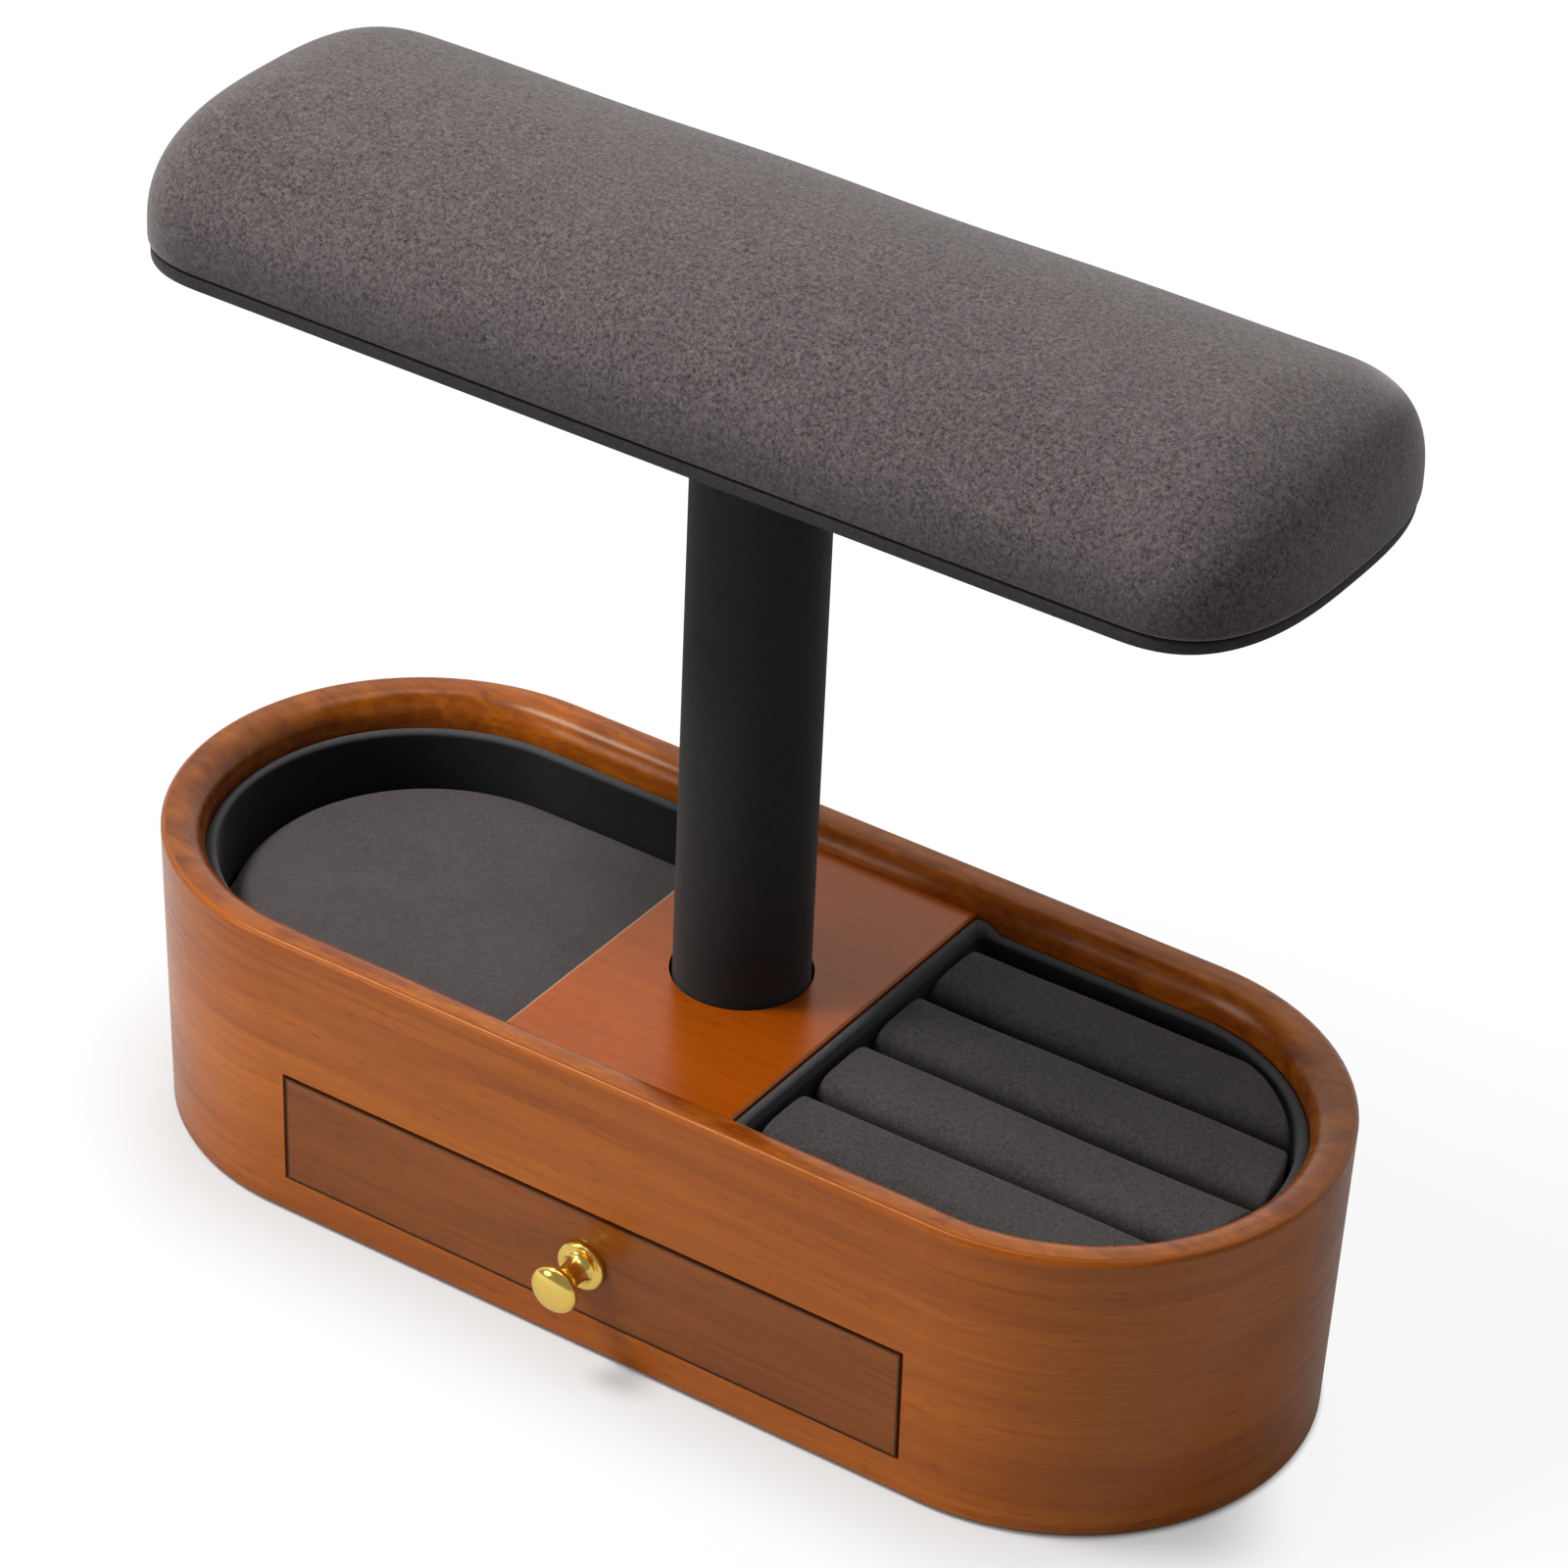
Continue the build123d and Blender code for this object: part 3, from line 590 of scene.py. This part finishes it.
def painted_gap_shade(nodes, point, colour):
    """The colour darkened along the four edges of the drawer front's face: painted shade of the gap round the front."""
    darkest = 0.12
    spot = nodes.split(point)
    inside = nodes.maths("SUBTRACT", FRONT_HIGH.x, nodes.maths("ABSOLUTE", spot["X"]))
    inside = nodes.maths("MINIMUM", inside, nodes.maths("SUBTRACT", spot["Z"], FRONT_LOW.z))
    inside = nodes.maths("MINIMUM", inside, nodes.maths("SUBTRACT", FRONT_HIGH.z, spot["Z"]))
    sunk = nodes.maths("ADD", spot["Y"], front_face(nodes, spot["Z"]))
    inside = nodes.maths("MAXIMUM", inside, nodes.maths("MULTIPLY", sunk, 2.0))
    # Painted shade: the colour falls to 0.12 of itself within 0.15 mm of each edge
    return nodes.scaled(colour, nodes.fade(inside, 0.15 * MM, 0.65 * MM, darkest, 1.0))


def lacquered_wood(name, grain, light, dark, contrast, path=None, mottle=0.0, rough=0.2, touch=None):
    """Stained wood under satin lacquer, its grain along the case's path or along the piece's own first axis.

    Touch is a function that changes the colour by place: a painted highlight on an edge, or painted shade in a gap.
    """
    finish, nodes, shader = new_finish(name, Specular_IOR_Level=0.38, Specular_Tint=(1, 0.97, 0.76, 1))
    point = nodes.point()
    values = {"Vector": point, "Light": (*light, 1), "Dark": (*dark, 1), "Contrast": contrast, "Roughness": rough}
    values.update(Shade=1.0, Mottle=mottle)
    if path:
        follow = nodes.add("ShaderNodeGroup", {"Vector": point}, node_tree=path).outputs
        mottled_rim = nodes.maths("MULTIPLY", follow["Rim"], mottle)
        # The path also brings the case's painted shade
        values.update(Vector=follow["Path"], Shade=follow["Shade"], Mottle=mottled_rim)
    board = nodes.add("ShaderNodeGroup", values, node_tree=grain)
    colour = board.outputs["Colour"]
    if touch:
        colour = touch(nodes, point, colour)
    nodes.link(colour, shader.inputs["Base Color"])
    nodes.link(board.outputs["Roughness"], shader.inputs["Roughness"])
    bump(nodes, shader, board.outputs["Height"], 0.05 * MM, 0.2)
    return finish


def bar_suede(nap):
    """Warm grey suede, with painted shade that darkens it towards its lower edge."""
    # Painted shade: the colour falls to 0.60 of itself over the lowest 13 mm of the cover
    rise = (COVER_LOW.z, COVER_LOW.z + 13 * MM, 0.60, 1.0)
    return suede("bar_suede", nap, (0.094, 0.079, 0.079), 2.1, 0.45, rise)


def roll_suede(nap):
    """Suede of the ring rolls, with painted shade that darkens it down in the gaps between them."""
    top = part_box("ring_roll_1")[1].z
    # Painted shade in the gaps: the colour falls to 0.35 of itself over the 4.5 mm below the top
    return suede("roll_suede", nap, (0.065, 0.059, 0.058), rise=(top - 4.5 * MM, top - 0.7 * MM, 0.35, 1.0))


def lining_cloth(nap):
    """Nearly black cloth, with a painted highlight along the top of its lip."""
    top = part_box("right_tray_lining")[1].z
    # Painted highlight: the colour grows to 4.6 times itself over the top millimetre of the lip
    rise = (top - 1.1 * MM, top - 0.1 * MM, 1.0, 4.6)
    return suede("lining_cloth", nap, (0.0150, 0.0148, 0.0157), 0.3, 0.2, rise)


def case_wood(grain):
    """The case's wood, its grain carried round the ends and mottled on the rim."""
    path = case_path_group()
    return lacquered_wood("case_wood", grain, (0.54, 0.138, 0.007), (0.25, 0.045, 0.002), 1.1, path, mottle=2.0)


def block_wood(grain):
    """The centre block's redder and smoother wood."""
    light, dark = (0.43, 0.084, 0.003), (0.25, 0.038, 0.001)
    return lacquered_wood("block_wood", grain, light, dark, 0.6, mottle=0.5, rough=0.17, touch=painted_edge_highlight)


def front_wood(grain):
    """The drawer front's darker wood."""
    return lacquered_wood("front_wood", grain, (0.34, 0.086, 0.008), (0.15, 0.031, 0.003), 1.0, touch=painted_gap_shade)


def board_wood(grain):
    """Plain pale board, for what is hidden and for the drawer's box."""
    return lacquered_wood("board_wood", grain, (0.42, 0.27, 0.14), (0.30, 0.17, 0.08), 0.8)


def polished_brass():
    """Bright brass with faint turning marks."""
    finish, nodes, shader = new_finish("polished_brass", Metallic=1.0, Base_Color=(1.0, 0.72, 0.17, 1))
    marks = nodes.noise(nodes.point(), 900)
    nodes.link(nodes.maths("MULTIPLY_ADD", marks, 0.12, 0.08), shader.inputs["Roughness"])
    bump(nodes, shader, marks, 0.01 * MM, 0.3)
    return finish


def zinc_steel():
    """Zinc-plated steel, for the screws."""
    finish, nodes, shader = new_finish("zinc_steel", Metallic=1.0, Base_Color=(0.55, 0.55, 0.54, 1))
    blotches = nodes.noise(nodes.point(), 700)
    nodes.link(nodes.maths("MULTIPLY_ADD", blotches, 0.2, 0.25), shader.inputs["Roughness"])
    return finish


# Stage


def photo_camera():
    """The camera at the photograph's place: azimuth from -Y towards +X, then elevation, then roll about its axis."""
    sin, cos = np.sin, np.cos
    level = Vector((cos(CAMERA_AZIMUTH), sin(CAMERA_AZIMUTH), 0))
    ahead = Vector((sin(CAMERA_AZIMUTH), -cos(CAMERA_AZIMUTH), 0))
    back = ahead * cos(CAMERA_ELEVATION) + Vector((0, 0, sin(CAMERA_ELEVATION)))
    upright = back.cross(level)
    across = level * cos(CAMERA_ROLL) + upright * sin(CAMERA_ROLL)
    upward = upright * cos(CAMERA_ROLL) - level * sin(CAMERA_ROLL)
    aim = CAMERA_AIM + across * CAMERA_SLIDE[0] + upward * CAMERA_SLIDE[1]
    lens = bpy.data.cameras.new("photo_camera")
    lens.lens, lens.sensor_width = CAMERA_LENS, CAMERA_SENSOR
    camera = bpy.data.objects.new("photo_camera", lens)
    turned = Matrix((across, upward, back)).transposed().to_4x4()
    camera.matrix_world = Matrix.Translation(aim + back * CAMERA_DISTANCE) @ turned
    bpy.context.scene.collection.objects.link(camera)
    bpy.context.scene.camera = camera


def area_light(name, place, size, power, mirrored=True):
    """A round soft light on the stand, which glossy surfaces show only where mirrored is set."""
    aim = Vector((0, 0, 0.08))
    data = bpy.data.lights.new(name, "AREA")
    data.shape, data.size, data.energy = "DISK", size, power
    light = bpy.data.objects.new(name, data)
    light.visible_glossy = mirrored
    light.location = place
    light.rotation_euler = (aim - Vector(place)).to_track_quat("-Z", "Y").to_euler()
    bpy.context.scene.collection.objects.link(light)


def lights():
    """A key light from the left front, of which gloss shows only a part, and soft light from three other sides."""
    key_place = (-0.62, -0.36, 1.16)
    area_light("key", key_place, 0.36, 5.5)
    area_light("key_soft", key_place, 0.36, 9.5, mirrored=False)
    area_light("overhead", (0.0, 0.15, 1.5), 0.9, 4.5)
    area_light("back_left", (-0.62, 0.97, 0.82), 0.5, 3.5, mirrored=False)
    area_light("front_left", (-0.9, -1.1, 0.5), 0.6, 3.2)


def floor_finish():
    """A pale floor that glows for the camera, most of all far from the stand.

    Near the case, apart from its right end, the floor has painted shade and keeps more of the real shadow. Right at the
    foot it doesn't glow at all.
    """
    glow_share, less_near, painted_shade_near = 0.88, -0.4, -0.2
    bounced, seen_white = (0.60, 0.60, 0.60, 1), (0.93, 0.93, 0.93, 1)
    finish, nodes, shader = new_finish("pale_floor", Roughness=0.8, Specular_IOR_Level=0.1)
    seen = nodes.add("ShaderNodeLightPath").outputs["Is Camera Ray"]
    spot = nodes.split(nodes.point())
    beyond = way_beyond(nodes, nodes.maths("ABSOLUTE", spot["X"]))
    away = nodes.add("ShaderNodeCombineXYZ", {0: beyond, 1: spot["Y"]}).outputs[0]
    away = nodes.add("ShaderNodeVectorMath", {0: away}, operation="LENGTH").outputs["Value"]
    near = nodes.fade(away, CASE_RADIUS - 4 * MM, CASE_RADIUS + 26 * MM, 1.0, 0.0)
    rightward = nodes.maths("MULTIPLY_ADD", spot["Y"], 0.8, spot["X"])
    near = nodes.maths("MULTIPLY", near, nodes.fade(rightward, 94 * MM, 122 * MM, 1.0, 0.0))
    clear_of_foot = nodes.fade(away, FOOT_RADIUS - 1 * MM, FOOT_RADIUS + 0.8 * MM, curve="LINEAR")
    share = nodes.maths("MULTIPLY", seen, nodes.maths("MULTIPLY_ADD", near, less_near, glow_share))
    share = nodes.maths("MULTIPLY", share, clear_of_foot)
    # Painted shade on the floor near the case: its colour and glow both scaled down by up to a fifth
    dim = nodes.maths("MULTIPLY_ADD", near, painted_shade_near, 1.0)
    nodes.link(nodes.scaled(nodes.mix(seen, bounced, seen_white), dim), shader.inputs["Base Color"])
    glow = nodes.add("ShaderNodeEmission", {"Color": (1, 1, 1, 1), "Strength": dim}).outputs[0]
    blend = nodes.add("ShaderNodeMixShader", {0: share, 1: shader.outputs[0], 2: glow}).outputs[0]
    nodes.link(blend, nodes.tree.nodes["Material Output"].inputs["Surface"])
    return finish


def pale_floor():
    """A wide square floor at the height of the stand's foot."""
    reach = 6.0
    corners = [(-reach, -reach, 0), (reach, -reach, 0), (reach, reach, 0), (-reach, reach, 0)]
    mesh = bpy.data.meshes.new("floor")
    mesh.from_pydata(corners, [], [(0, 1, 2, 3)])
    mesh.materials.append(floor_finish())
    floor = bpy.data.objects.new("floor", mesh)
    bpy.context.scene.collection.objects.link(floor)


def surround():
    """A world that is white to the camera, bright at the back left to mirrored light, and dim to all else."""
    bright_side, dim_light = (-0.35, 0.84, 0.42), 0.27
    world = bpy.data.worlds.new("surround")
    world.use_nodes = True
    bpy.context.scene.world = world
    nodes = Nodes(world.node_tree)
    path = nodes.add("ShaderNodeLightPath").outputs
    mirrored = nodes.maths("MAXIMUM", path["Is Glossy Ray"], path["Is Transmission Ray"])
    way = nodes.add("ShaderNodeTexCoord").outputs["Generated"]
    behind = nodes.add("ShaderNodeVectorMath", {0: way, 1: bright_side}, operation="DOT_PRODUCT").outputs["Value"]
    brightness = nodes.fade(behind, -0.15, 0.75, 0.25, 1.0)
    strength = nodes.maths("MAXIMUM", path["Is Camera Ray"], nodes.maths("MULTIPLY", mirrored, brightness))
    strength = nodes.maths("MAXIMUM", strength, dim_light)
    background = world.node_tree.nodes["Background"]
    background.inputs["Color"].default_value = (1, 1, 1, 1)
    nodes.link(strength, background.inputs["Strength"])


def finish_frame(finishes, steel, board):
    """Gives every node of the frame its named finish, the screws steel and all else board."""
    for name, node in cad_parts.items():
        finish = finishes.get(name, steel if name.endswith(("screw", "screws")) else board)
        for place in node.material_slots:
            place.material = finish


def main():
    """Finishes the frame's own pieces, makes the new ones and sets the stage."""
    nap, grain = suede_group(), wood_group()
    lining = lining_cloth(nap)
    finishes = {
        "base_shell": case_wood(grain),
        "centre_block": block_wood(grain),
        "drawer_front": front_wood(grain),
        "drawer_lining": lining,
    }
    finish_frame(finishes, zinc_steel(), board_wood(grain))
    bar_cover(bar_suede(nap))
    bar_plate(suede("plate_cloth", nap, (0.034, 0.031, 0.031), 0.8, 0.2))
    watch_pad(suede("pad_suede", nap, (0.083, 0.072, 0.073), 0.6))
    rolls = roll_suede(nap)
    for number in range(4):
        ring_roll(f"ring_roll_{number + 1}", rolls, seed=11 + number)
    tray_lining("left_tray_lining", -1, lining, block_drop=2.5 * MM)
    tray_lining("right_tray_lining", 1, lining, block_drop=-1.7 * MM)
    post_sleeve(suede("sleeve_cloth", nap, (0.0225, 0.0215, 0.0220), 0.4, 0.2))
    base_felt(suede("felt", nap, (0.010, 0.010, 0.010), 0.6, 0.1))
    knob(polished_brass())
    photo_camera()
    pale_floor()
    surround()
    lights()
    bpy.context.scene.view_settings.view_transform = "Standard"


main()
